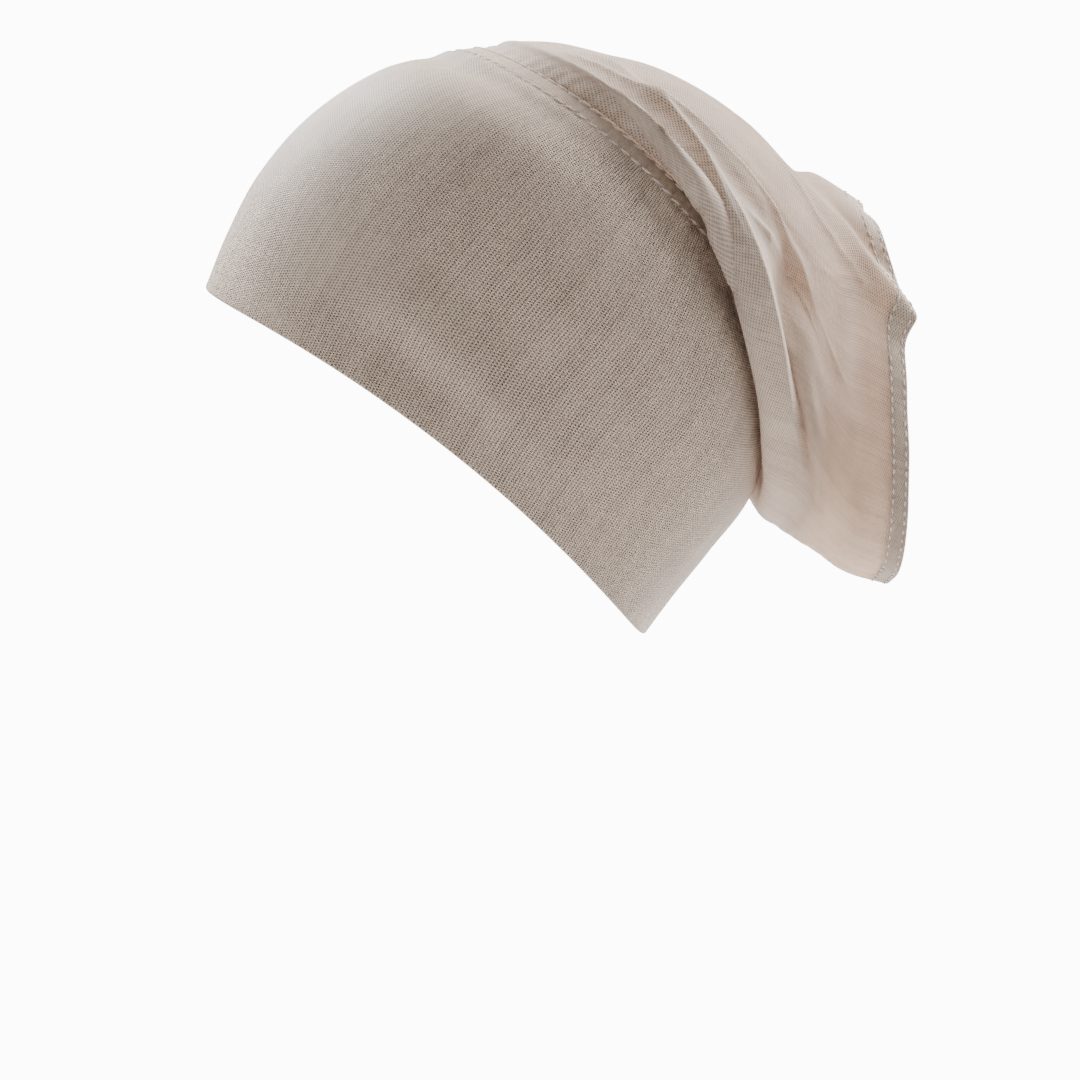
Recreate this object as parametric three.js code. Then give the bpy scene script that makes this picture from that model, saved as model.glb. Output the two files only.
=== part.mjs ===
import * as THREE from 'three';

// Underscarf cap of jersey: a doubled band round the head, a flat seam, and a thin open tail behind.
// Millimetres, +Z up. The wearer looks along -Y, with the left ear at +X. The origin is the inside
// of the band's crown, where the cap sits on a head.

// The form that the stretched band takes over a head.
const HEAD_LENGTH = 191; // brow to back of head, along Y
const HEAD_HEIGHT = 200; // crown to the fold at the nape, along Z
const HEAD_WIDTH = 150; // over the ears, along X

// The tail behind the head.
const TAIL_REACH = 46; // back of head to the mouth
const MOUTH_HEIGHT = 128; // top fold of the mouth to its lowest corner
const MOUTH_WIDTH = 100; // near wall of the mouth to its far wall

// Cloth.
const BAND_WALL = 1.8; // two layers of jersey
const STRIP_WALL = 2.2; // seam allowances stitched flat
const TAIL_WALL = 1.1; // one layer
const HEM_WALL = 1.9; // one layer turned in
const FOLD_HEIGHT = 5; // the height and spread that folds are shares of
const FOLD_SPREAD = 10;
const STRIP_WIDTH = 7.5;
const HEM_WIDTH = 8;
const PIECE_GAP = 0.6; // kept between neighbours

// Facets: steps round, and rings of each piece along.
const HEAD_STEPS = 48;
const TAIL_STEPS = 72;
const BAND_RINGS = 13;
const TAIL_RINGS = 26;
const NARROW_RINGS = 2; // of the strip and the hem

const JERSEY = 0xbcab9e;
const JERSEY_LIT = 0xc9b9ab;

// Hoops of the head form, from the folded front edge up to the seam. Back and bow are shares of
// HEAD_LENGTH, down of HEAD_HEIGHT, half width of HEAD_WIDTH. Columns: place along the crown line,
// crown point back and down, nape point back and down, half width, bow of the sides, squareness.
const HEAD_HOOPS = [
  [0.0, -0.505, 0.395, 0.282, 1.0, 0.467, 0.089, 0.02],
  [0.15, -0.461, 0.304, 0.332, 0.932, 0.477, 0.088, 0.02],
  [0.3, -0.404, 0.212, 0.393, 0.855, 0.49, 0.086, 0.02],
  [0.5, -0.312, 0.119, 0.467, 0.754, 0.5, 0.08, 0.02],
  [0.7, -0.193, 0.049, 0.496, 0.631, 0.483, 0.07, 0.02],
  [0.85, -0.092, 0.023, 0.5, 0.539, 0.437, 0.058, 0.01],
  [1.0, 0.01, 0.007, 0.497, 0.449, 0.385, 0.047, 0.0],
].map(([at, crownBack, crownDown, napeBack, napeDown, half, bow, square]) => ({
  at,
  topY: HEAD_LENGTH * crownBack,
  topZ: BAND_WALL - HEAD_HEIGHT * crownDown,
  lowY: HEAD_LENGTH * napeBack,
  lowZ: BAND_WALL - HEAD_HEIGHT * napeDown,
  half: HEAD_WIDTH * half,
  bow: HEAD_LENGTH * bow,
  highBow: 0,
  square,
  lean: 0,
}));
const BAND_END = 0.888; // place at which the band meets the seam

// Hoops of the tail, from the seam to the mouth. Back is a share of HEAD_LENGTH and one of
// TAIL_REACH, down of HEAD_HEIGHT and of MOUTH_HEIGHT, half width of HEAD_WIDTH and of
// MOUTH_WIDTH, bow of HEAD_LENGTH, lean of MOUTH_WIDTH. Columns: place along the tail, top point
// back (two) and down, low point back (two) and down (two), half width (two), bow, how much more
// of it lies above the middle than below, squareness, lean of the top towards the far side.
const TAIL_HOOPS = [
  [0.03, 0.0, 0, 0.004, 0.522, 0, 0.46, 0, 0.418, 0, 0.054, 0.1, 0, 0],
  [0.07, 0.016, 0, 0.002, 0.524, 0, 0.53, 0, 0.446, 0, 0.076, 0.2, 0, 0],
  [0.12, 0.03, 0, 0.001, 0.518, 0, 0.64, 0, 0.456, 0, 0.094, 0.25, 0, 0],
  [0.18, 0.047, 0, 0.0, 0.479, 0, 0.765, 0, 0.456, 0, 0.108, 0.3, 0, 0],
  [0.28, 0.13, 0, 0.006, 0.522, 0, 0.812, 0, 0.446, 0, 0.114, 0.15, 0, 0],
  [0.45, 0.293, 0, 0.046, 0.497, 0.22, 0.578, 0.4, 0.3, 0.15, 0.07, 0, 0.02, 0],
  [0.62, 0.424, 0, 0.116, 0.497, 0.35, 0.406, 0.7, 0.15, 0.32, 0.04, 0, 0.03, 0.02],
  [0.76, 0.497, 0.12, 0.199, 0.497, 0.47, 0.325, 0.85, 0.07, 0.41, 0.024, 0, 0.04, 0.06],
  [0.88, 0.497, 0.37, 0.214, 0.497, 0.62, 0.285, 0.94, 0.03, 0.46, 0.016, 0.1, 0.04, 0.14],
  [1.0, 0.497, 0.72, 0.266, 0.497, 0.91, 0.266, 1.0, 0, 0.5, 0.012, 0.3, 0.04, 0.2],
].map(([at, topHead, topReach, topDown, lowHead, lowReach, lowDown, lowMouth,
  halfHead, halfMouth, bow, highBow, square, lean]) => ({
  at,
  topY: HEAD_LENGTH * topHead + TAIL_REACH * topReach,
  topZ: BAND_WALL - HEAD_HEIGHT * topDown,
  lowY: HEAD_LENGTH * lowHead + TAIL_REACH * lowReach,
  lowZ: BAND_WALL - HEAD_HEIGHT * lowDown - MOUTH_HEIGHT * lowMouth,
  half: HEAD_WIDTH * halfHead + MOUTH_WIDTH * halfMouth,
  bow: HEAD_LENGTH * bow,
  highBow,
  square,
  lean: MOUTH_WIDTH * lean,
}));

// Folds, dents and creases. Each runs along a path of points [turn in degrees, place, strength];
// rise, a share of FOLD_HEIGHT, lifts the cloth outward, or sinks it, and reach, another such
// share, draws it towards the mouth. Both die away over spread, a share of FOLD_SPREAD. A crease
// has a crispness near 1, a soft fold near 2.
const BAND_FOLDS = [
  { rise: 0.4, spread: 1.0, crisp: 2, path: [[60, 0.24, 0], [76, 0.21, 1], [94, 0.18, 1], [118, 0.17, 0]] },
  { rise: -0.3, spread: 0.8, crisp: 2, path: [[60, 0.12, 0], [76, 0.12, 1], [96, 0.12, 0]] },
  { rise: -0.25, spread: 0.5, crisp: 2, path: [[10, 0.79, 0], [30, 0.81, 1], [55, 0.85, 0]] },
  { rise: 0.4, spread: 1.0, crisp: 2, path: [[-58, 0.23, 0], [-78, 0.2, 1], [-98, 0.18, 1],
    [-120, 0.16, 0]] },
  { rise: -0.3, spread: 0.8, crisp: 2, path: [[-62, 0.12, 0], [-80, 0.11, 1], [-98, 0.11, 0]] },
];
const TAIL_FOLDS = [
  // Left side: the roll's crest and its branch to the pit.
  { rise: 0.5, spread: 0.45, crisp: 1.2, path: [[22, 0.24, 0], [34, 0.29, 0.7], [60, 0.29, 1], [76, 0.29, 1],
    [100, 0.275, 1], [122, 0.275, 0.9], [138, 0.34, 0]] },
  { rise: 0.4, spread: 0.3, crisp: 1.2, path: [[74, 0.31, 0], [76, 0.43, 1], [76, 0.56, 0.2]] },
  // The crease above the leaf-shaped facet, the facet, and the drop behind the crease.
  { rise: 0.45, spread: 0.4, crisp: 1.2, path: [[44, 0.27, 0], [49, 0.3, 0.8], [54, 0.365, 1],
    [60, 0.44, 1], [66, 0.51, 1], [74, 0.58, 0.3]] },
  { rise: 0.3, spread: 0.65, crisp: 2, path: [[40, 0.27, 0], [47, 0.3, 0.7], [53, 0.34, 1],
    [60, 0.39, 1], [68, 0.46, 0.9], [73, 0.56, 0]] },
  { rise: -0.4, spread: 0.5, crisp: 2, path: [[38, 0.3, 0], [48, 0.36, 0.8], [55, 0.43, 1],
    [61, 0.5, 1], [66, 0.57, 0.8], [72, 0.66, 0]] },
  // The pit and the valley below it.
  { rise: -0.85, spread: 0.9, crisp: 2, path: [[76, 0.6, 0], [78, 0.54, 0.8], [88, 0.45, 1], [98, 0.38, 1],
    [112, 0.33, 1], [126, 0.34, 0.8], [142, 0.4, 0]] },
  // The near top fold, the valley behind it, and the far top fold.
  { rise: 0.85, reach: 0.75, spread: 0.7, crisp: 1.6, path: [[30, 0.66, 0], [40, 0.75, 0.6], [56, 0.86, 0.9],
    [66, 1.0, 1]] },
  { rise: -1.1, reach: 1.9, spread: 1.0, crisp: 1.7, path: [[22, 0.72, 0], [30, 0.8, 0.3], [40, 0.9, 0.8],
    [48, 1.0, 1]] },
  { rise: 0.3, spread: 0.8, crisp: 1.6, path: [[-6, 0.74, 0], [0, 0.86, 0.8], [4, 1.0, 1]] },
  // The lowest corner of the mouth and the slack between its walls.
  { rise: 0.25, spread: 0.6, crisp: 1.4, path: [[160, 0.6, 0], [162, 0.8, 0.8], [162, 1.0, 1]] },
  { rise: -1.2, spread: 1.2, crisp: 2, path: [[180, 0.35, 0], [184, 0.6, 0.8], [186, 1.0, 1]] },
  // Right side: a roll like the left one, with two hanging folds.
  { rise: 0.5, spread: 0.5, crisp: 1.3, path: [[-24, 0.25, 0], [-50, 0.29, 1], [-80, 0.28, 1],
    [-110, 0.27, 1], [-136, 0.33, 0]] },
  { rise: -0.9, spread: 0.9, crisp: 2, path: [[-52, 0.5, 0], [-72, 0.46, 1], [-100, 0.4, 1],
    [-128, 0.38, 0.8], [-146, 0.42, 0]] },
  { rise: 0.7, spread: 0.6, crisp: 1.4, path: [[-44, 0.42, 0], [-58, 0.6, 0.8], [-70, 0.8, 1],
    [-76, 1.0, 0.8]] },
  { rise: -1.3, spread: 0.9, crisp: 1.8, path: [[-60, 0.6, 0], [-84, 0.75, 0.8], [-98, 1.0, 1]] },
  { rise: 0.6, spread: 0.8, crisp: 1.6, path: [[-110, 0.55, 0], [-124, 0.78, 0.9], [-130, 1.0, 1]] },
];

// One hoop between those of a table, each of its sizes on a smooth curve through the rows.
function hoopAt(hoops, at) {
  let i = hoops.findIndex((row) => row.at > at) - 1;
  if (i < 0) i = at <= hoops[0].at ? 0 : hoops.length - 2;
  const before = hoops[Math.max(i - 1, 0)];
  const [from, to] = [hoops[i], hoops[i + 1]];
  const after = hoops[Math.min(i + 2, hoops.length - 1)];
  const span = to.at - from.at;
  const t = (at - from.at) / span;
  const hoop = {};
  for (const key of Object.keys(from)) {
    const slopeFrom = (to[key] - before[key]) / (to.at - before.at);
    const slopeTo = (after[key] - from[key]) / (after.at - from.at);
    hoop[key] = (2 * t ** 3 - 3 * t ** 2 + 1) * from[key] + (t ** 3 - 2 * t ** 2 + t) * span * slopeFrom
      + (3 * t ** 2 - 2 * t ** 3) * to[key] + (t ** 3 - t ** 2) * span * slopeTo;
  }
  return hoop;
}

// A point of a hoop: turn 0 is its top, a quarter turn the wearer's left side, a half turn its low
// point. The sides bow off the plane of the hoop, and the top leans to the wearer's right.
function hoopPoint(hoop, turn) {
  const { topY, topZ, lowY, lowZ, half, bow, highBow, square, lean } = hoop;
  const down = (1 - (Math.cos(turn) - square * Math.cos(3 * turn)) / (1 - square)) / 2;
  const side = (Math.sin(turn) + square * Math.sin(3 * turn)) / (1 - square);
  const chord = Math.hypot(lowY - topY, lowZ - topZ);
  const lift = (bow * Math.sin(turn) ** 2 * (1 + highBow * Math.cos(turn))) / chord;
  return new THREE.Vector3(
    half * side - lean * (1 - down),
    topY + down * (lowY - topY) - lift * (lowZ - topZ),
    topZ + down * (lowZ - topZ) + lift * (lowY - topY),
  );
}

// The unit directions along a surface, towards its far edge, and out of it, each taken over a
// short stretch of cloth, so that a sharp crease has a direction too.
function directionsAt(surface, turn, at) {
  const STRETCH = 0.02;
  const round = surface(turn + STRETCH, at).sub(surface(turn - STRETCH, at));
  const along = surface(turn, at + STRETCH).sub(surface(turn, at - STRETCH)).normalize();
  return { along, outward: round.cross(along).normalize() };
}

// A smooth form with its folds; line is the length that places are shares of.
function folded(form, folds, line) {
  const girth = HEAD_WIDTH / 2;
  const wrap = (angle) => Math.atan2(Math.sin(angle), Math.cos(angle));
  return (turn, at) => {
    let [lift, draw] = [0, 0];
    for (const { rise, reach = 0, spread, crisp, path } of folds) {
      let [nearest, strength] = [Infinity, 0];
      for (let i = 1; i < path.length; i++) {
        const [from, to] = [path[i - 1], path[i]];
        const x = wrap(turn - THREE.MathUtils.degToRad(from[0])) * girth;
        const y = (at - from[1]) * line;
        const dx = THREE.MathUtils.degToRad(to[0] - from[0]) * girth;
        const dy = (to[1] - from[1]) * line;
        const share = THREE.MathUtils.clamp((x * dx + y * dy) / (dx * dx + dy * dy), 0, 1);
        const distance = Math.hypot(x - share * dx, y - share * dy);
        if (distance < nearest) [nearest, strength] = [distance, from[2] + share * (to[2] - from[2])];
      }
      const here = strength * FOLD_HEIGHT * Math.exp(-((nearest / (spread * FOLD_SPREAD)) ** crisp));
      lift += rise * here;
      draw += reach * here;
    }
    const { along, outward } = directionsAt(form, turn, at);
    return form(turn, at).addScaledVector(outward, lift).addScaledVector(along, draw);
  };
}

// Length of the line of crown points, which turns widths along it into places.
const topLine = (hoops) => hoops.slice(1).reduce((sum, row, i) => sum
  + Math.hypot(row.topY - hoops[i].topY, row.topZ - hoops[i].topZ), 0);
const headLine = topLine(HEAD_HOOPS);
const stripStart = BAND_END + PIECE_GAP / headLine;
const stripEnd = stripStart + STRIP_WIDTH / headLine;
const tailStart = stripEnd + PIECE_GAP / headLine;

const headForm = (turn, at) => hoopPoint(hoopAt(HEAD_HOOPS, at), turn);
const onHead = folded(headForm, BAND_FOLDS, headLine);

const tailHoops = [{ ...hoopAt(HEAD_HOOPS, tailStart), at: 0 }, ...TAIL_HOOPS];
const tailLine = topLine(tailHoops);
const hemStart = 1 - HEM_WIDTH / tailLine;
const tailEnd = hemStart - PIECE_GAP / tailLine;

const tailForm = (turn, at) => hoopPoint(hoopAt(tailHoops, at), turn);
const onTail = folded(tailForm, TAIL_FOLDS, tailLine);

// A closed wall of cloth all round, whose outside is a surface and whose thickness lies inward.
// places are where its rings lie along the surface; both edges are closed flat.
function clothWall(surface, places, thickness, steps) {
  const outside = [];
  const inside = [];
  for (const at of places) {
    const outer = [];
    const inner = [];
    for (let k = 0; k < steps; k++) {
      const turn = (2 * Math.PI * k) / steps;
      const point = surface(turn, at);
      outer.push(point);
      inner.push(point.clone().addScaledVector(directionsAt(surface, turn, at).outward, -thickness));
    }
    outside.push(outer);
    inside.push(inner);
  }
  const rings = [...outside, ...inside.reverse()];
  const positions = [];
  for (const ring of rings) for (const point of ring) positions.push(point.x, point.y, point.z);
  const faces = [];
  for (let r = 0; r < rings.length; r++) {
    const next = ((r + 1) % rings.length) * steps;
    for (let k = 0; k < steps; k++) {
      const [a, b] = [r * steps + k, r * steps + ((k + 1) % steps)];
      const [c, d] = [next + k, next + ((k + 1) % steps)];
      faces.push(a, b, d, a, d, c);
    }
  }
  const geometry = new THREE.BufferGeometry();
  geometry.setAttribute('position', new THREE.Float32BufferAttribute(positions, 3));
  geometry.setIndex(faces);
  geometry.computeVertexNormals();
  return geometry;
}

// Evenly spaced places for a piece's rings.
const ringPlaces = (from, to, rings) => Array.from(
  { length: rings + 1 },
  (_, i) => from + ((to - from) * i) / rings,
);

const group = new THREE.Group();
function addPiece(name, geometry, color) {
  const material = new THREE.MeshStandardMaterial({ color, roughness: 0.9, metalness: 0 });
  const mesh = new THREE.Mesh(geometry, material);
  mesh.name = name;
  group.add(mesh);
}

const band = clothWall(onHead, ringPlaces(0, BAND_END, BAND_RINGS), BAND_WALL, HEAD_STEPS);
const strip = clothWall(onHead, ringPlaces(stripStart, stripEnd, NARROW_RINGS), STRIP_WALL, HEAD_STEPS);
const tail = clothWall(onTail, ringPlaces(0, tailEnd, TAIL_RINGS), TAIL_WALL, TAIL_STEPS);
const hem = clothWall(onTail, ringPlaces(hemStart, 1, NARROW_RINGS), HEM_WALL, TAIL_STEPS);
addPiece('front_band', band, JERSEY);
addPiece('seam_strip', strip, JERSEY_LIT);
addPiece('tail_tube', tail, JERSEY);
addPiece('tail_hem', hem, JERSEY_LIT);

export default group;
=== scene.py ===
import bmesh
import bpy
import numpy as np
from mathutils import Matrix, Vector


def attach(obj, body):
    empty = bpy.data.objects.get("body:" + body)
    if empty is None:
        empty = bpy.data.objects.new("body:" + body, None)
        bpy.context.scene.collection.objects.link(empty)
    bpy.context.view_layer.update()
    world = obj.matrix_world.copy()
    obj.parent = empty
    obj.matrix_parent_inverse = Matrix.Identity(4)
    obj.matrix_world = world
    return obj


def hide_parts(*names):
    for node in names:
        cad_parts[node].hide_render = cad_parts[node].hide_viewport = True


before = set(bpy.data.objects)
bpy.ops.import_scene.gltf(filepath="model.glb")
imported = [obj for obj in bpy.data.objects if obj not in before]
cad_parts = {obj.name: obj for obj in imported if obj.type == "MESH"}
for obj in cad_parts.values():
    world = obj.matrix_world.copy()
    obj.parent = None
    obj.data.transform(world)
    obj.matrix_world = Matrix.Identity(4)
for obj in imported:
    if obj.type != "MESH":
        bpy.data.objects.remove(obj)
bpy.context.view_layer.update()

# The front band: one wide piece of fine rib jersey folded double, so its front edge is a soft
# round fold with no seam. Worn, it is stretched over the brow, the ears and the nape, and is
# almost smooth. Its form is drawn as hoops from brow to crown, in millimetres.
HEAD_LENGTH, HEAD_HEIGHT, HEAD_WIDTH = 191, 200, 150
CROWN = 1.8
BAND_WALL, BAND_END = 1.7, 0.888
PIECE_GAP, STRIP_WIDTH, UNDERLAP = 0.6, 7.5, 2
SEAM_PITCH, ROW_INSET = 4.2, 0.6
ROW_PULL, ROW_SPREAD = 0.4, 0.7
CROWN_TURN, CROWN_SPREAD = 0.42, 0.3
BAND_GIRTH, SEAM_GIRTH = 525, 405
HEAD_HOOPS = [
    # at, crown back, crown down, nape back, nape down, half, bow, square
    [0.0, -0.505, 0.395, 0.282, 1.0, 0.467, 0.089, 0.02],
    [0.15, -0.461, 0.304, 0.332, 0.932, 0.477, 0.088, 0.02],
    [0.3, -0.404, 0.212, 0.393, 0.855, 0.49, 0.086, 0.02],
    [0.5, -0.312, 0.119, 0.467, 0.754, 0.5, 0.08, 0.02],
    [0.7, -0.193, 0.049, 0.496, 0.631, 0.483, 0.07, 0.02],
    [0.85, -0.092, 0.023, 0.5, 0.539, 0.437, 0.058, 0.01],
    [1.0, 0.01, 0.007, 0.497, 0.449, 0.385, 0.047, 0.0],
]
BAND_FOLDS = [
    # rise, reach, spread, crisp (lengths in mm), path of [turn in degrees, at, strength]
    (2.0, 0, 10, 2, [[60, 0.24, 0], [76, 0.21, 1], [94, 0.18, 1], [118, 0.17, 0]]),
    (-1.5, 0, 8, 2, [[60, 0.12, 0], [76, 0.12, 1], [96, 0.12, 0]]),
    (-1.25, 0, 5, 2, [[10, 0.79, 0], [30, 0.81, 1], [55, 0.85, 0]]),
    (2.0, 0, 10, 2, [[-58, 0.23, 0], [-78, 0.2, 1], [-98, 0.18, 1], [-120, 0.16, 0]]),
    (-1.5, 0, 8, 2, [[-62, 0.12, 0], [-80, 0.11, 1], [-98, 0.11, 0]]),
]


def hoop_at(rows, at):
    """The hoop at each place, on smooth curves through the rows of a table."""
    i = np.clip(np.searchsorted(rows[:, 0], at, side="right") - 1, 0, len(rows) - 2)
    before, start = rows[np.maximum(i - 1, 0)], rows[i]
    end, after = rows[i + 1], rows[np.minimum(i + 2, len(rows) - 1)]
    span = (end[..., 0] - start[..., 0])[..., None]
    t = (at - start[..., 0])[..., None] / span
    slope = (end - before) / (end[..., 0] - before[..., 0])[..., None]
    next_slope = (after - start) / (after[..., 0] - start[..., 0])[..., None]
    return ((2 * t**3 - 3 * t**2 + 1) * start + (t**3 - 2 * t**2 + t) * span * slope
            + (3 * t**2 - 2 * t**3) * end + (t**3 - t**2) * span * next_slope)


def hoop_point(hoop, turn):
    """Points of hoops: turn 0 is the top, a quarter turn the wearer's left, a half turn the low point."""
    _, top_y, top_z, low_y, low_z, half, bow, above, square, lean = np.moveaxis(hoop, -1, 0)
    down = (1 - (np.cos(turn) - square * np.cos(3 * turn)) / (1 - square)) / 2
    side = (np.sin(turn) + square * np.sin(3 * turn)) / (1 - square)
    lift = bow * np.sin(turn) ** 2 * (1 + above * np.cos(turn)) / np.hypot(low_y - top_y, low_z - top_z)
    back, sink = low_y - top_y, low_z - top_z
    return np.stack([half * side - lean * (1 - down), top_y + down * back - lift * sink,
                     top_z + down * sink + lift * back], -1)


def line_over_top(rows):
    """Length in mm of the line that runs over the tops of the hoops."""
    return float(np.hypot(*np.diff(rows[:, 1:3], axis=0).T).sum())


def directions(surface, turn, at, stretch=0.006):
    """Unit directions along a surface towards its far edge, and out of it."""
    across = surface(turn + stretch, at) - surface(turn - stretch, at)
    along = surface(turn, at + stretch) - surface(turn, at - stretch)
    along /= np.linalg.norm(along, axis=-1, keepdims=True)
    out = np.cross(across, along)
    return along, out / np.linalg.norm(out, axis=-1, keepdims=True)


def near_path(path, turn, at, line):
    """Distance in mm from each place to a fold's path, and the fold's strength there."""
    radius = HEAD_WIDTH / 2
    nearest, strength = np.full(turn.shape, np.inf), np.zeros(turn.shape)
    for start, end in zip(path, path[1:]):
        off = turn - np.radians(start[0])
        x, y = np.arctan2(np.sin(off), np.cos(off)) * radius, (at - start[1]) * line
        dx, dy = np.radians(end[0] - start[0]) * radius, (end[1] - start[1]) * line
        share = np.clip((x * dx + y * dy) / (dx * dx + dy * dy), 0, 1)
        distance = np.hypot(x - share * dx, y - share * dy)
        closer = distance < nearest
        nearest = np.where(closer, distance, nearest)
        strength = np.where(closer, start[2] + share * (end[2] - start[2]), strength)
    return nearest, strength


def folded(form, folds, line, relief):
    """A smooth form with its folds and the small relief of its cloth."""
    def surface(turn, at):
        lift, draw = relief(turn, at), np.zeros(turn.shape)
        for rise, reach, spread, crisp, path in folds:
            nearest, strength = near_path(path, turn, at, line)
            here = strength * np.exp(-(nearest / spread) ** crisp)
            lift = lift + rise * here
            draw += reach * here
        along, out = directions(form, turn, at, 0.02)
        return form(turn, at) + out * lift[..., None] + along * draw[..., None]
    return surface


def cloth_path(start, end, thickness, line, rows, inner_rows, proud=0.0):
    """Places and depths of a cloth wall: over its outside, round its far edge and back within."""
    radius = thickness / 2
    near, far = start + radius / line, end - radius / line
    arc = np.linspace(0, np.pi, 7)[1:-1]
    path = [(at, -proud) for at in np.linspace(near, far, rows)]
    path += [(far + np.sin(a) * radius / line, radius * (1 - np.cos(a)) - proud) for a in arc]
    path += [(at, thickness - proud) for at in np.linspace(far, near, inner_rows)]
    path += [(near - np.sin(a) * radius / line, radius * (1 + np.cos(a)) - proud) for a in arc]
    return np.array(path + path[:1])


def cloth_wall(name, surface, path, columns, girth, line):
    """A closed wall of cloth all round. Its UV map runs once round the cloth in U and along it in V
    at the same scale, so that a knit lies true on it."""
    steps = np.hypot(np.diff(path[:, 0]) * line, np.diff(path[:, 1]))
    along = np.concatenate([[0], np.cumsum(steps)]) / girth
    sheet = bmesh.new()
    bmesh.ops.create_grid(sheet, x_segments=columns, y_segments=len(path) - 1, size=0.5)
    flat = np.array([v.co[:2] for v in sheet.verts]) + 0.5
    row = np.rint(flat[:, 1] * (len(path) - 1)).astype(int)
    turn, at, depth = np.pi * (2 * flat[:, 0] + 1), path[row, 0], path[row, 1]
    _, out = directions(surface, turn, at)
    for vert, point in zip(sheet.verts, (surface(turn, at) - out * depth[:, None]) / 1000):
        vert.co = point
    knit_map = sheet.loops.layers.uv.new("Knit")
    for face in sheet.faces:
        for loop in face.loops:
            i = loop.vert.index
            loop[knit_map].uv = (flat[i, 0], along[row[i]])
    bmesh.ops.remove_doubles(sheet, verts=sheet.verts, dist=1e-6)
    bmesh.ops.recalc_face_normals(sheet, faces=sheet.faces)
    return shown(name, sheet)


def shown(name, sheet):
    """Puts a finished bmesh in the scene as a smooth piece."""
    mesh = bpy.data.meshes.new(name)
    sheet.to_mesh(mesh)
    sheet.free()
    mesh.polygons.foreach_set("use_smooth", [True] * len(mesh.polygons))
    piece = bpy.data.objects.new(name, mesh)
    bpy.context.collection.objects.link(piece)
    return piece


head = np.array([
    [at, HEAD_LENGTH * top_y, CROWN - HEAD_HEIGHT * top_z, HEAD_LENGTH * low_y,
     CROWN - HEAD_HEIGHT * low_z, HEAD_WIDTH * half, HEAD_LENGTH * bow, 0, square, 0]
    for at, top_y, top_z, low_y, low_z, half, bow, square in HEAD_HOOPS])
head_line = line_over_top(head)
strip_start = BAND_END + PIECE_GAP / head_line
strip_end = strip_start + STRIP_WIDTH / head_line


def seam_relief(turn, at):
    """Two grooves that the rows of stitches pull, the soft swell of the band before the first,
    and beyond the swell a shallow fold over the crown."""
    row_1, row_2 = (at - strip_start) * head_line - ROW_INSET, (at - strip_end) * head_line + ROW_INSET
    pull = 0.7 + 0.3 * np.cos(turn * np.round(SEAM_GIRTH / SEAM_PITCH))
    near_rows = np.exp(-(row_1 / ROW_SPREAD) ** 2) + np.exp(-(row_2 / ROW_SPREAD) ** 2)
    grooves = -ROW_PULL * pull * near_rows
    from_top = np.arctan2(np.sin(turn), np.cos(turn))
    crown = np.exp(-((from_top - CROWN_TURN) / CROWN_SPREAD) ** 2)
    swell = (0.3 + 0.3 * crown) * np.exp(-((row_1 + 3.6) / 2.4) ** 2)
    fold = (0.15 + 0.55 * crown) * np.exp(-((row_1 + 9.5) / 3.2) ** 2)
    ripple = 0.1 * np.exp(-((row_1 + 2.5) / 3.0) ** 2) * np.sin(turn * 57 + 2 * np.sin(turn * 5))
    return grooves + swell - fold + ripple


on_head = folded(lambda turn, at: hoop_point(hoop_at(head, at), turn), BAND_FOLDS, head_line, seam_relief)
band_path = cloth_path(0, strip_start + UNDERLAP / head_line, BAND_WALL, head_line,
                       rows=150, inner_rows=60)
band = cloth_wall("band", on_head, band_path, columns=320, girth=BAND_GIRTH, line=head_line)
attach(band, "root")
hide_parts("front_band")


def joined(tree, kind, inputs=(), **settings):
    """A node with its settings, and with a value or another node's output in each input."""
    node = tree.nodes.new(kind)
    for key, value in settings.items():
        setattr(node, key, value)
    for i, value in enumerate(inputs):
        if isinstance(value, bpy.types.NodeSocket):
            tree.links.new(value, node.inputs[i])
        elif value is not None:
            node.inputs[i].default_value = value
    return node


def maths(tree, operation, a, b=None):
    return joined(tree, "ShaderNodeMath", (a, b), operation=operation).outputs[0]


HOLE_TIGHTNESS, HOLE_SOFTNESS = 4.1, 1.6
ODD_STITCH, ODD_COLUMN, ODD_MIDDLE = 0.08, 0.12, 0.08


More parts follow.
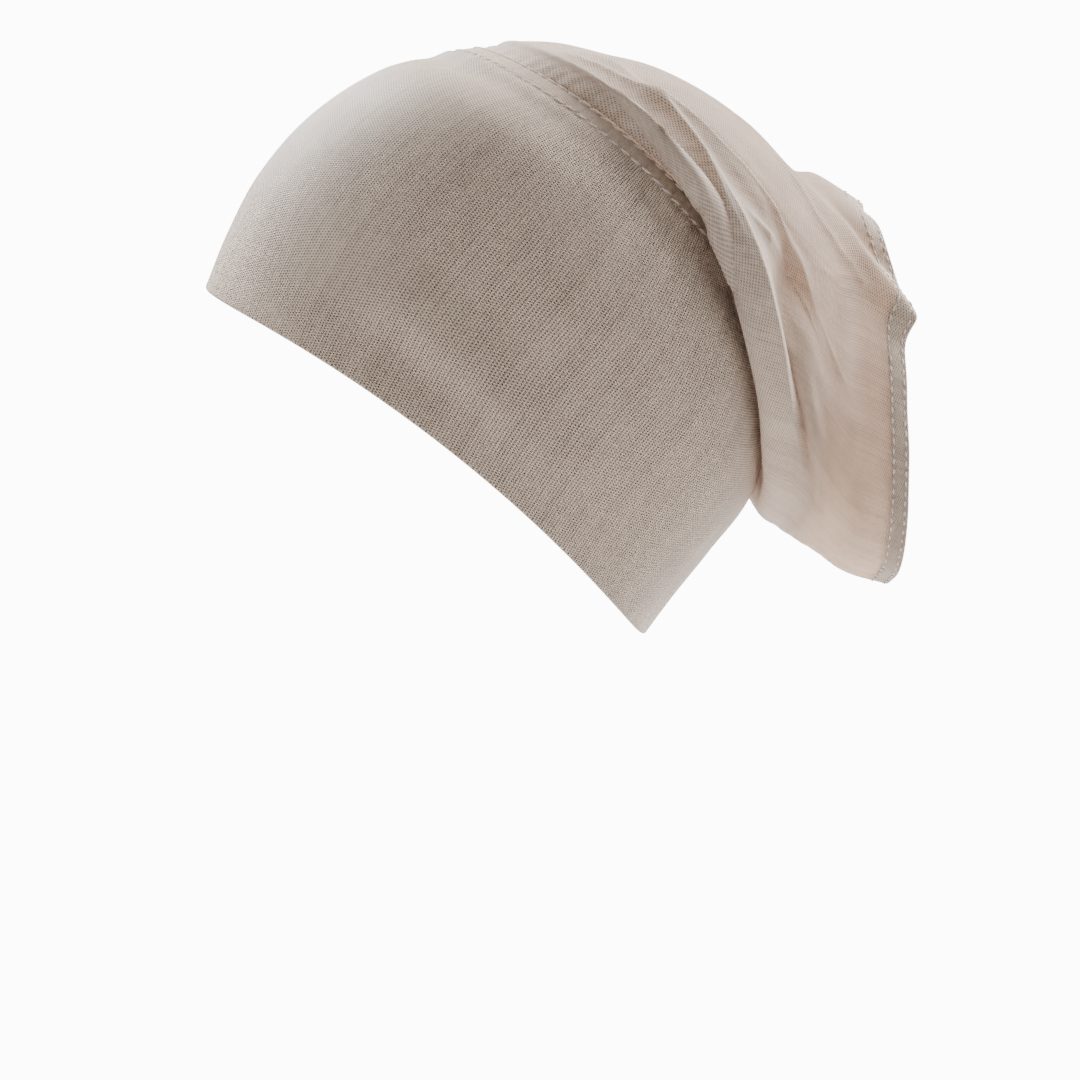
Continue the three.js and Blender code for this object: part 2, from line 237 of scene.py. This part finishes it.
def knit_group():
    """Fine columns of stitches from brow to mouth, with a dark pinhole beside each stitch. Every
    other column is half a stitch on. Open is how dark the pinholes are, Rib how far the columns
    stand out from each other."""
    group = bpy.data.node_groups.new("Fine knit", "ShaderNodeTree")
    for name in ("Columns", "Open", "Rib", "Loft"):
        group.interface.new_socket(name, in_out="INPUT", socket_type="NodeSocketFloat")
    group.interface.new_socket("Yarn", in_out="OUTPUT", socket_type="NodeSocketFloat")
    group.interface.new_socket("Normal", in_out="OUTPUT", socket_type="NodeSocketVector")
    given = joined(group, "NodeGroupInput").outputs
    laid = joined(group, "ShaderNodeUVMap", uv_map="Knit")
    scaled = joined(group, "ShaderNodeVectorMath", (laid.outputs[0],), operation="SCALE")
    group.links.new(given["Columns"], scaled.inputs["Scale"])
    place = joined(group, "ShaderNodeSeparateXYZ", (scaled.outputs[0],)).outputs
    column = maths(group, "FLOOR", place[0])
    half_on = maths(group, "MULTIPLY", maths(group, "MODULO", column, 2.0), 0.5)
    course = maths(group, "ADD", place[1], half_on)
    across = maths(group, "SUBTRACT", maths(group, "FRACT", place[0]), 0.5)
    up = maths(group, "SUBTRACT", maths(group, "FRACT", course), 0.5)
    apart = maths(group, "ADD", maths(group, "MULTIPLY", across, across),
                  maths(group, "MULTIPLY", up, up))
    cover = maths(group, "SUBTRACT", 1.0, maths(group, "MULTIPLY", apart, HOLE_TIGHTNESS))
    hole = maths(group, "POWER", maths(group, "MAXIMUM", cover, 0.0), HOLE_SOFTNESS)
    furrow = maths(group, "POWER", maths(group, "MULTIPLY", maths(group, "ABSOLUTE", across), 2.0), 2.0)
    cell = joined(group, "ShaderNodeCombineXYZ", (column, maths(group, "FLOOR", course)))
    odd_stitch = joined(group, "ShaderNodeTexWhiteNoise", (cell.outputs[0],), noise_dimensions="2D")
    odd_column = joined(group, "ShaderNodeTexWhiteNoise", noise_dimensions="1D")
    group.links.new(column, odd_column.inputs["W"])
    solid = maths(group, "SUBTRACT", 1.0, maths(group, "MULTIPLY", hole, given["Open"]))
    ribbed = maths(group, "SUBTRACT", solid, maths(group, "MULTIPLY", furrow, given["Rib"]))
    uneven = maths(group, "ADD", maths(group, "MULTIPLY", odd_stitch.outputs[0], ODD_STITCH),
                   maths(group, "MULTIPLY", odd_column.outputs[0], ODD_COLUMN))
    yarn = maths(group, "SUBTRACT", ribbed, maths(group, "SUBTRACT", uneven, ODD_MIDDLE))
    raised = joined(group, "ShaderNodeBump", (0.7, 0.0004, None, ribbed))
    group.links.new(given["Loft"], raised.inputs["Distance"])
    done = joined(group, "NodeGroupOutput")
    group.links.new(yarn, done.inputs["Yarn"])
    group.links.new(raised.outputs[0], done.inputs["Normal"])
    return group


fine_knit = knit_group()
MOTTLE_SCALE, MOTTLE_DETAIL, MOTTLE_DEPTH = 70.0, 4.0, 0.3
THIN_TO, LAYERED_FROM = 0.14, 0.26


def jersey(name, knit, dark, light, through=None, glow=None, mouth=0.0):
    """Soft cotton jersey. knit is columns, open, rib and loft. through is the share of light, in the
    colour glow, that comes through the cloth: first in the roll, where layers lie on each other,
    then beyond it. mouth is the V of the mouth's edge, from which the two are told apart."""
    material = bpy.data.materials.new(name)
    material.use_nodes = True
    tree = material.node_tree
    surface = tree.nodes["Principled BSDF"]
    surface.inputs["Roughness"].default_value = 0.5
    surface.inputs["Specular IOR Level"].default_value = 0.4
    surface.inputs["Sheen Weight"].default_value = 0.14
    surface.inputs["Sheen Roughness"].default_value = 0.45
    stitches = joined(tree, "ShaderNodeGroup", node_tree=fine_knit)
    for socket, value in zip(stitches.inputs, knit):
        socket.default_value = value
    object_place = joined(tree, "ShaderNodeTexCoord").outputs["Object"]
    mottle = joined(tree, "ShaderNodeTexNoise", (object_place, None, MOTTLE_SCALE, MOTTLE_DETAIL))
    patches = maths(tree, "MULTIPLY", maths(tree, "SUBTRACT", mottle.outputs[0], 0.5), MOTTLE_DEPTH)
    shade = maths(tree, "ADD", stitches.outputs["Yarn"], patches)
    tint = joined(tree, "ShaderNodeMix", (shade,), data_type="RGBA")
    tint.inputs[6].default_value, tint.inputs[7].default_value = (*dark, 1), (*light, 1)
    tree.links.new(tint.outputs[2], surface.inputs["Base Color"])
    tree.links.new(stitches.outputs["Normal"], surface.inputs["Normal"])
    if through:
        lit_through = joined(tree, "ShaderNodeMix", (shade,), data_type="RGBA")
        lit_through.inputs[6].default_value = (*[0.5 * c for c in glow], 1)
        lit_through.inputs[7].default_value = (*glow, 1)
        back_light = joined(tree, "ShaderNodeBsdfTranslucent", (lit_through.outputs[2],))
        laid = joined(tree, "ShaderNodeUVMap", uv_map="Knit")
        run = joined(tree, "ShaderNodeSeparateXYZ", (laid.outputs[0],)).outputs[1]
        from_mouth = maths(tree, "ABSOLUTE", maths(tree, "SUBTRACT", run, mouth))
        share = joined(tree, "ShaderNodeMapRange",
                       (from_mouth, THIN_TO, LAYERED_FROM, through[1], through[0])).outputs[0]
        cloth = joined(tree, "ShaderNodeMixShader", (share, surface.outputs[0], back_light.outputs[0]))
        tree.links.new(cloth.outputs[0], tree.nodes["Material Output"].inputs["Surface"])
    return material


YARN_SHADE, YARN_LIGHT = (0.068, 0.042, 0.029), (0.74, 0.565, 0.435)
BAND_KNIT = (580, 0.9, 0.1, 0.0004)
band.data.materials.append(jersey("Band jersey", BAND_KNIT, YARN_SHADE, YARN_LIGHT))

# The seam strip: the raw edges of the band and the tail laid flat over each other and covered by
# the machine. The second row of stitches pulls its far edge into small steps.
STRIP_WALL, STRIP_PROUD, STEP_DEPTH = 2.2, 0.28, 0.9
OVER_BAND, OVER_TAIL = 0.9, 1.0
STRIP_KNIT = (460, 0.55, 0.45, 0.0004)


def on_strip(turn, at):
    """The head's surface, with the places near the strip's far edge drawn back between stitches."""
    share = np.clip((at - strip_start) * head_line / STRIP_WIDTH - 0.5, 0, 1)
    step = (turn * np.round(SEAM_GIRTH / SEAM_PITCH) / (2 * np.pi)) % 1.0
    return on_head(turn, at - share * STEP_DEPTH * step / head_line)


strip_path = cloth_path(strip_start - OVER_BAND / head_line, strip_end + OVER_TAIL / head_line,
                        STRIP_WALL, head_line, rows=22, inner_rows=8, proud=STRIP_PROUD)
strip = cloth_wall("strip", on_strip, strip_path, columns=640, girth=SEAM_GIRTH, line=head_line)
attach(strip, "root")
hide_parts("seam_strip")
strip.data.materials.append(jersey("Strip jersey", STRIP_KNIT, YARN_SHADE, YARN_LIGHT))

# The tail: one layer of the same jersey, so thin that light comes through it. It is gathered a
# little into the seam, slumps over it in a roll with crisp creases, and hangs slack to its mouth.
TAIL_REACH, MOUTH_HEIGHT, MOUTH_WIDTH = 46, 128, 100
TAIL_WALL, HEM_WIDTH, HEM_PITCH, MOUTH_GIRTH = 0.8, 8, 3.3, 350
# The tail's pale yarn colour is painted lighter than the band's, though it is the same jersey: painted
# light for the light that comes through it from behind.
TAIL_KNIT, TAIL_YARN_PAINTED_LIGHTER = (520, 0.7, 0.2, 0.0004), (0.92, 0.72, 0.575)
TAIL_GLOW, TAIL_THROUGH, MOUTH_V = (0.98, 0.81, 0.675), (0.16, 0.46), 0.348
TAIL_HOOPS = [
    # at, top back of head and reach, top down, low back of head and reach, low down of head and
    # mouth, half of head and mouth, bow, more of it above, square, lean
    [0.03, 0.0, 0, 0.004, 0.522, 0, 0.46, 0, 0.418, 0, 0.054, 0.1, 0, 0],
    [0.07, 0.016, 0, 0.002, 0.524, 0, 0.53, 0, 0.446, 0, 0.076, 0.2, 0, 0],
    [0.12, 0.03, 0, 0.001, 0.518, 0, 0.64, 0, 0.456, 0, 0.094, 0.25, 0, 0],
    [0.18, 0.047, 0, 0.0, 0.479, 0, 0.765, 0, 0.456, 0, 0.108, 0.3, 0, 0],
    [0.28, 0.13, 0, 0.006, 0.522, 0, 0.812, 0, 0.446, 0, 0.114, 0.15, 0, 0],
    [0.45, 0.293, 0, 0.046, 0.497, 0.22, 0.578, 0.4, 0.3, 0.15, 0.07, 0, 0.02, 0],
    [0.62, 0.424, 0, 0.116, 0.497, 0.35, 0.406, 0.7, 0.15, 0.32, 0.04, 0, 0.03, 0.02],
    [0.76, 0.497, 0.12, 0.199, 0.497, 0.47, 0.325, 0.85, 0.07, 0.41, 0.024, 0, 0.04, 0.06],
    [0.88, 0.497, 0.37, 0.214, 0.497, 0.62, 0.285, 0.94, 0.03, 0.46, 0.016, 0.1, 0.04, 0.14],
    [1.0, 0.497, 0.72, 0.266, 0.497, 0.91, 0.266, 1.0, 0, 0.5, 0.012, 0.3, 0.04, 0.2],
]
TAIL_FOLDS = [
    (2.5, 0, 4.5, 1.2, [[22, 0.24, 0], [34, 0.29, 0.7], [60, 0.29, 1], [76, 0.29, 1], [100, 0.275, 1],
                        [122, 0.275, 0.9], [138, 0.34, 0]]),
    (2.0, 0, 3, 1.2, [[74, 0.31, 0], [76, 0.43, 1], [76, 0.56, 0.2]]),
    (2.25, 0, 4, 1.2, [[44, 0.27, 0], [49, 0.3, 0.8], [54, 0.365, 1], [60, 0.44, 1], [66, 0.51, 1],
                       [74, 0.58, 0.3]]),
    (1.5, 0, 6.5, 2, [[40, 0.27, 0], [47, 0.3, 0.7], [53, 0.34, 1], [60, 0.39, 1], [68, 0.46, 0.9],
                      [73, 0.56, 0]]),
    (-2.0, 0, 5, 2, [[38, 0.3, 0], [48, 0.36, 0.8], [55, 0.43, 1], [61, 0.5, 1], [66, 0.57, 0.8],
                     [72, 0.66, 0]]),
    (-4.6, 0, 8.5, 1.8, [[76, 0.6, 0], [78, 0.54, 0.8], [88, 0.45, 1], [98, 0.38, 1], [112, 0.33, 1],
                         [126, 0.34, 0.8], [142, 0.4, 0]]),
    (4.25, 3.75, 7, 1.6, [[30, 0.66, 0], [40, 0.75, 0.6], [56, 0.86, 0.9], [66, 1.0, 1]]),
    (-5.5, 9.5, 10, 1.7, [[22, 0.72, 0], [30, 0.8, 0.3], [40, 0.9, 0.8], [48, 1.0, 1]]),
    (1.5, 0, 8, 1.6, [[-6, 0.74, 0], [0, 0.86, 0.8], [4, 1.0, 1]]),
    (1.25, 0, 6, 1.4, [[160, 0.6, 0], [162, 0.8, 0.8], [162, 1.0, 1]]),
    (-6.0, 0, 12, 2, [[180, 0.35, 0], [184, 0.6, 0.8], [186, 1.0, 1]]),
    (2.5, 0, 5, 1.3, [[-24, 0.25, 0], [-50, 0.29, 1], [-80, 0.28, 1], [-110, 0.27, 1], [-136, 0.33, 0]]),
    (-4.5, 0, 9, 2, [[-52, 0.5, 0], [-72, 0.46, 1], [-100, 0.4, 1], [-128, 0.38, 0.8], [-146, 0.42, 0]]),
    (3.5, 0, 6, 1.4, [[-44, 0.42, 0], [-58, 0.6, 0.8], [-70, 0.8, 1], [-76, 1.0, 0.8]]),
    (-6.5, 0, 9, 1.8, [[-60, 0.6, 0], [-84, 0.75, 0.8], [-98, 1.0, 1]]),
    (3.0, 0, 8, 1.6, [[-110, 0.55, 0], [-124, 0.78, 0.9], [-130, 1.0, 1]]),
]
TAIL_CREASES = [
    (1.0, 0, 1.5, 1.0, [[28, 0.2, 0], [31, 0.22, 0.6], [38, 0.248, 1], [46, 0.272, 1], [54, 0.288, 1],
                        [62, 0.288, 1], [68, 0.28, 1], [76, 0.268, 1], [90, 0.26, 0.6], [112, 0.25, 0]]),
    (0.3, 0, 2.2, 1.4, [[76, 0.268, 0], [78, 0.29, 0.8], [76, 0.376, 1], [73, 0.52, 1], [74, 0.596, 0]]),
    (1.0, 0, 1.6, 1.0, [[44, 0.27, 0], [49, 0.3, 0.8], [54, 0.365, 1], [60, 0.44, 1], [66, 0.51, 1],
                        [70, 0.57, 0.8], [74, 0.6, 0]]),
    (-0.5, 0, 1.6, 1.0, [[78, 0.57, 0], [88, 0.47, 1], [98, 0.4, 1], [110, 0.34, 1], [128, 0.36, 0]]),
    (0.6, 0, 1.6, 1.0, [[34, 0.64, 0], [40, 0.68, 0.8], [48, 0.728, 1], [57, 0.79, 1], [65, 0.884, 1],
                        [66, 0.976, 0.6]]),
    (0.45, 0, 1.6, 1.0, [[74, 0.6, 0], [68, 0.7, 1], [64, 0.8, 1], [64, 0.9, 0]]),
    (0.35, 0, 2.0, 1.0, [[80, 0.6, 0], [90, 0.7, 1], [96, 0.82, 0]]),
    (0.6, 0, 1.5, 1.0, [[-24, 0.25, 0], [-50, 0.29, 1], [-80, 0.28, 1], [-110, 0.27, 0.8],
                        [-130, 0.32, 0]]),
    (0.5, 0, 1.6, 1.0, [[-44, 0.42, 0], [-58, 0.6, 0.9], [-70, 0.8, 1], [-76, 1.0, 0.5]]),
]

first_hoop = hoop_at(head, np.array([strip_end + PIECE_GAP / head_line]))
first_hoop[0, 0] = 0
tail = np.vstack([first_hoop, [
    [at, HEAD_LENGTH * top_y + TAIL_REACH * top_r, CROWN - HEAD_HEIGHT * top_z,
     HEAD_LENGTH * low_y + TAIL_REACH * low_r, CROWN - HEAD_HEIGHT * low_z - MOUTH_HEIGHT * low_m,
     HEAD_WIDTH * half_h + MOUTH_WIDTH * half_m, HEAD_LENGTH * bow, above, square, MOUTH_WIDTH * lean]
    for at, top_y, top_r, top_z, low_y, low_r, low_z, low_m, half_h, half_m, bow, above, square, lean
    in TAIL_HOOPS]])
tail_line = line_over_top(tail)
hem_start = 1 - HEM_WIDTH / tail_line
HEM_ROWS = (7.0, 1.9)


def tail_relief(turn, at):
    """Gathers that run off the seam into a valley before the roll, the pull of the hem's two rows,
    and the thin cloth's slack."""
    from_seam, to_rim = at * tail_line, (1 - at) * tail_line
    wander = 3 * np.sin(turn * 7) + 2 * np.sin(turn * 3)
    gathers = 0.16 * np.exp(-from_seam / 7) * np.sin(turn * 63 + wander)
    over = np.abs(np.arctan2(np.sin(turn), np.cos(turn)))
    valley = -0.5 * np.exp(-((from_seam - 1) / 2) ** 2)
    valley = valley - 1.2 * np.exp(-((from_seam - 6) / 4) ** 2) * (over < 1.3)
    pull = 0.65 + 0.35 * np.cos(turn * np.round(MOUTH_GIRTH / HEM_PITCH))
    rows = -0.34 * pull * sum(np.exp(-((to_rim - row) / 0.75) ** 2) for row in HEM_ROWS)
    hem_wave = 0.35 * np.exp(-(to_rim / 9) ** 2) * np.sin(turn * 11 + 2 * np.sin(turn * 4))
    slack = 0.22 * np.sin(turn * 13 + at * 9 + 2 * np.sin(at * 17)) * np.clip(from_seam / 30, 0, 1)
    return gathers + valley + rows + hem_wave + slack


on_tail = folded(lambda turn, at: hoop_point(hoop_at(tail, at), turn), TAIL_FOLDS + TAIL_CREASES,
                 tail_line, tail_relief)
tail_path = cloth_path(0, hem_start + UNDERLAP / tail_line, TAIL_WALL, tail_line,
                       rows=200, inner_rows=40)
tail_tube = cloth_wall("tail", on_tail, tail_path, columns=384, girth=SEAM_GIRTH, line=tail_line)
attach(tail_tube, "root")
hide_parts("tail_tube")
tail_tube.data.materials.append(jersey("Tail jersey", TAIL_KNIT, YARN_SHADE, TAIL_YARN_PAINTED_LIGHTER,
                                       TAIL_THROUGH, TAIL_GLOW, MOUTH_V))

# The hem: the tail's end turned in once, so its rim is a soft fold and it is too thick to glow as
# the tail does. Two rows of stitches hold it.
HEM_WALL, HEM_PROUD = 1.7, 0.12
HEM_KNIT, HEM_LIGHT = (520, 0.7, 0.25, 0.0005), (0.69, 0.525, 0.405)
hem_path = cloth_path(hem_start, 1, HEM_WALL, tail_line, rows=26, inner_rows=12, proud=HEM_PROUD)
hem = cloth_wall("hem", on_tail, hem_path, columns=420, girth=SEAM_GIRTH, line=tail_line)
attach(hem, "root")
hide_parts("tail_hem")
hem.data.materials.append(jersey("Hem jersey", HEM_KNIT, YARN_SHADE, HEM_LIGHT))

# The stitches: a coverstitch shows outside as rows of short dashes of pale cotton thread. On the
# seam the dashes lap like small steps; on the hem they are shorter, with gaps between them.
THREAD_WIDTH, THREAD_HEIGHT = 0.7, 0.55
SEAM_DASH, SEAM_LIFT, SEAM_SLANT = 3.7, 0.45, 0.16
HEM_DASH, HEM_LIFT, HEM_SLANT = 2.0, 0.32, 0.1


def stitch_row(sheet, surface, at, pitch, length, lift, slant):
    """Adds one row of dashes, evenly spaced along the cloth all round."""
    turn = np.linspace(0, 2 * np.pi, 1441)
    line = surface(turn, np.full(turn.shape, at))
    run = np.concatenate([[0], np.cumsum(np.linalg.norm(np.diff(line, axis=0), axis=1))])
    count = int(round(run[-1] / pitch))
    centres = np.interp((np.arange(count) + 0.5) * run[-1] / count, run, turn)
    place = np.full(centres.shape, at)
    _, out = directions(surface, centres, place)
    points = surface(centres, place) + out * lift
    ahead = surface(centres + 0.01, place) - surface(centres - 0.01, place)
    ahead /= np.linalg.norm(ahead, axis=1, keepdims=True)
    for point, forward, up in zip(points, ahead, out):
        side = np.cross(up, forward)
        forward, side = forward + slant * side, side - slant * forward
        axes = np.eye(4)
        axes[:3, 0] = forward * length / 2
        axes[:3, 1] = side * THREAD_WIDTH / 2
        axes[:3, 2] = up * THREAD_HEIGHT / 2
        axes[:3, 3] = point
        axes[:3] /= 1000
        bmesh.ops.create_uvsphere(sheet, u_segments=8, v_segments=6, radius=1,
                                  matrix=Matrix(axes.tolist()))


seam_rows = bmesh.new()
for row_at in (strip_start + ROW_INSET / head_line, strip_end - ROW_INSET / head_line):
    stitch_row(seam_rows, on_head, row_at, SEAM_PITCH, SEAM_DASH, SEAM_LIFT, SEAM_SLANT)
seam_thread = shown("seam_stitches", seam_rows)
hem_rows = bmesh.new()
for row in HEM_ROWS:
    stitch_row(hem_rows, on_tail, 1 - row / tail_line, HEM_PITCH, HEM_DASH, HEM_LIFT, HEM_SLANT)
hem_thread = shown("hem_stitches", hem_rows)
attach(seam_thread, "root")
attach(hem_thread, "root")
cotton = bpy.data.materials.new("Stitch thread")
cotton.use_nodes = True
spun = cotton.node_tree.nodes["Principled BSDF"]
spun.inputs["Base Color"].default_value = (0.80, 0.68, 0.60, 1)
spun.inputs["Roughness"].default_value = 0.7
for thread in (seam_thread, hem_thread):
    thread.data.materials.append(cotton)

# The studio: a pale sweep of paper well below the cap, which is held up as on a head, and broad
# soft lights before, above and behind it, most of them on its far side. The paper and the air are
# white to the lens, and add little light to the cap.
PAPER_Z, SWEEP_BEND, SWEEP_RUN, SWEEP_WIDTH = -0.36, 0.9, 2.5, 4
LENS_WHITE = 12.0
AIM = (0, 0, -0.08)
sweep = bmesh.new()
bmesh.ops.create_grid(sweep, x_segments=60, y_segments=2, size=1.0)
for vert in sweep.verts:
    run = -vert.co.x * SWEEP_RUN
    bend = max(0.0, run - SWEEP_BEND)
    angle = min(bend / SWEEP_BEND, np.pi / 2)
    straight = bend - angle * SWEEP_BEND
    x = run - bend + SWEEP_BEND * np.sin(angle)
    vert.co = (-x, vert.co.y * SWEEP_WIDTH, PAPER_Z + SWEEP_BEND * (1 - np.cos(angle)) + straight)
floor = shown("backdrop", sweep)


def white_to_the_lens(tree, plain, kind, output):
    """Shows a plain surround to the light, and a white one to the lens."""
    white = joined(tree, kind, ((1, 1, 1, 1), LENS_WHITE))
    seen = joined(tree, "ShaderNodeLightPath").outputs["Is Camera Ray"]
    both = joined(tree, "ShaderNodeMixShader", (seen, plain.outputs[0], white.outputs[0]))
    tree.links.new(both.outputs[0], tree.nodes[output].inputs["Surface"])


paper = bpy.data.materials.new("Pale paper")
paper.use_nodes = True
paper_surface = paper.node_tree.nodes["Principled BSDF"]
paper_surface.inputs["Base Color"].default_value = (0.6, 0.6, 0.6, 1)
paper_surface.inputs["Roughness"].default_value = 0.9
paper_surface.inputs["Emission Color"].default_value = (1, 1, 1, 1)
paper_surface.inputs["Emission Strength"].default_value = 0.1
white_to_the_lens(paper.node_tree, paper_surface, "ShaderNodeEmission", "Material Output")
floor.data.materials.append(paper)


def soft_light(name, place, size, power):
    light = bpy.data.lights.new(name, "AREA")
    light.shape, light.size, light.energy = "DISK", size, power
    lamp = bpy.data.objects.new(name, light)
    lamp.location = place
    lamp.rotation_euler = (Vector(AIM) - Vector(place)).to_track_quat("-Z", "Y").to_euler()
    bpy.context.collection.objects.link(lamp)


soft_light("front", (0.0, -1.1, 0.05), 0.9, 6)
soft_light("above_front", (-0.6, -0.7, 0.7), 0.9, 46)
soft_light("above_back", (-0.25, 0.8, 0.75), 0.9, 40)
soft_light("low_back", (-0.5, 0.95, -0.1), 0.6, 15)
soft_light("over_camera", (0.4, 0.35, 1.0), 0.9, 4)
world = bpy.data.worlds.new("studio")
bpy.context.scene.world = world
world.use_nodes = True
air = world.node_tree.nodes["Background"]
air.inputs["Color"].default_value = (1, 1, 1, 1)
air.inputs["Strength"].default_value = 0.08
white_to_the_lens(world.node_tree, air, "ShaderNodeBackground", "World Output")

CAMERA_PLACE, CAMERA_DOWN = (0.5, 0.0165, -0.06), 12
HALF_FRAME, FOCAL = 540, 1440
eye = bpy.data.cameras.new("camera")
eye.sensor_fit, eye.angle = "HORIZONTAL", 2 * np.arctan(HALF_FRAME / FOCAL)
camera = bpy.data.objects.new("camera", eye)
camera.location = CAMERA_PLACE
camera.rotation_euler = (np.radians(90 - CAMERA_DOWN), 0, np.radians(90))
bpy.context.collection.objects.link(camera)
bpy.context.scene.camera = camera
